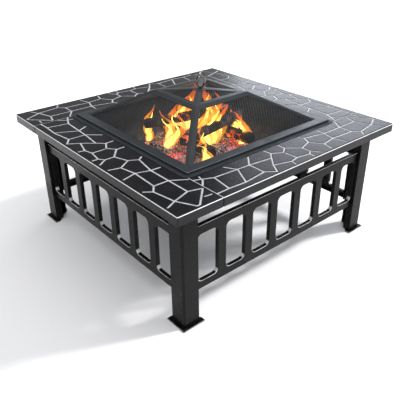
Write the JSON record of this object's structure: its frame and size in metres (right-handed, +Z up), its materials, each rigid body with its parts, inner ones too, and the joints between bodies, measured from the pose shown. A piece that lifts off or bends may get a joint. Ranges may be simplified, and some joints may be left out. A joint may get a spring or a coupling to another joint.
{
  "type": "fire pit table with grate",
  "caption": "Square steel fire pit table with a stone-pattern top, slatted side panels, lift-out bowl, log grate and a lift-off mesh spark screen with a ring handle.",
  "frame": {"origin": "centre of the footprint, on the ground under the foot plates", "axes": "+Z up; +X to the right along the front side; +Y from the front side to the back"},
  "size_m": [0.812, 0.812, 0.4979],
  "materials": {
    "powder_coat": "satin black powder coat",
    "stone_enamel": "gloss black enamel pressed with a crazy-paving pattern",
    "black_zinc": "black zinc",
    "heat_paint": "matt high-temperature paint",
    "grate_steel": "scorched steel",
    "embers": "glowing charcoal with grey ash",
    "charred_wood": "charred, checked surface",
    "screen_paint": "satin grey-black heat paint",
    "wire_mesh": "black expanded wire mesh",
    "ring_steel": "gloss black"
  },
  "bodies": {
    "table": {"leg_front_left": "powder_coat", "leg_front_right": "powder_coat", "leg_back_right": "powder_coat", "leg_back_left": "powder_coat", "foot_plate_front_left": "powder_coat", "foot_plate_front_right": "powder_coat", "foot_plate_back_right": "powder_coat", "foot_plate_back_left": "powder_coat", "leg_top_plate_front_left": "powder_coat", "leg_top_plate_front_right": "powder_coat", "leg_top_plate_back_right": "powder_coat", "leg_top_plate_back_left": "powder_coat", "side_panel_front": "powder_coat", "side_panel_right": "powder_coat", "side_panel_back": "powder_coat", "side_panel_left": "powder_coat", "top_panel_front": "stone_enamel", "top_panel_right": "stone_enamel", "top_panel_back": "stone_enamel", "top_panel_left": "stone_enamel", "side_panel_bolts": "black_zinc", "side_panel_nuts": "black_zinc", "seam_bolts": "black_zinc", "seam_nuts": "black_zinc", "top_studs": "black_zinc", "top_stud_washers": "black_zinc", "top_stud_nuts": "black_zinc"},
    "bowl": {"fire_bowl": "heat_paint"},
    "screen": {"screen_frame": "screen_paint", "hip_strip_front_left": "screen_paint", "hip_strip_front_right": "screen_paint", "hip_strip_back_right": "screen_paint", "hip_strip_back_left": "screen_paint", "belt_strip_front": "screen_paint", "belt_strip_right": "screen_paint", "belt_strip_back": "screen_paint", "belt_strip_left": "screen_paint", "screen_hub": "screen_paint", "mesh_front": "wire_mesh", "mesh_right": "wire_mesh", "mesh_back": "wire_mesh", "mesh_left": "wire_mesh", "mesh_cap": "wire_mesh", "ring_handle": "ring_steel", "handle_washer": "black_zinc", "handle_nut": "black_zinc"},
    "grate": {"grate_rail_front": "grate_steel", "grate_rail_back": "grate_steel", "grate_bars": "grate_steel", "ember_bed": "embers", "log_low_left": "charred_wood", "log_low_right": "charred_wood", "log_high_front": "charred_wood", "log_high_back": "charred_wood"}
  },
  "joints": [
    {"name": "bowl_lift", "type": "slide", "parent": "table", "child": "bowl", "axis": [0, 0, 1], "range_m": [0, 0.25]},
    {"name": "screen_lift", "type": "slide", "parent": "bowl", "child": "screen", "axis": [0, 0, 1], "range_m": [0, 0.4]},
    {"name": "grate_lift", "type": "slide", "parent": "bowl", "child": "grate", "axis": [0, 0, 1], "range_m": [0, 0.2]}
  ],
  "couplings": [
    {"joint": "grate_lift", "follows": "screen_lift", "ratio": 0.5}
  ]
}
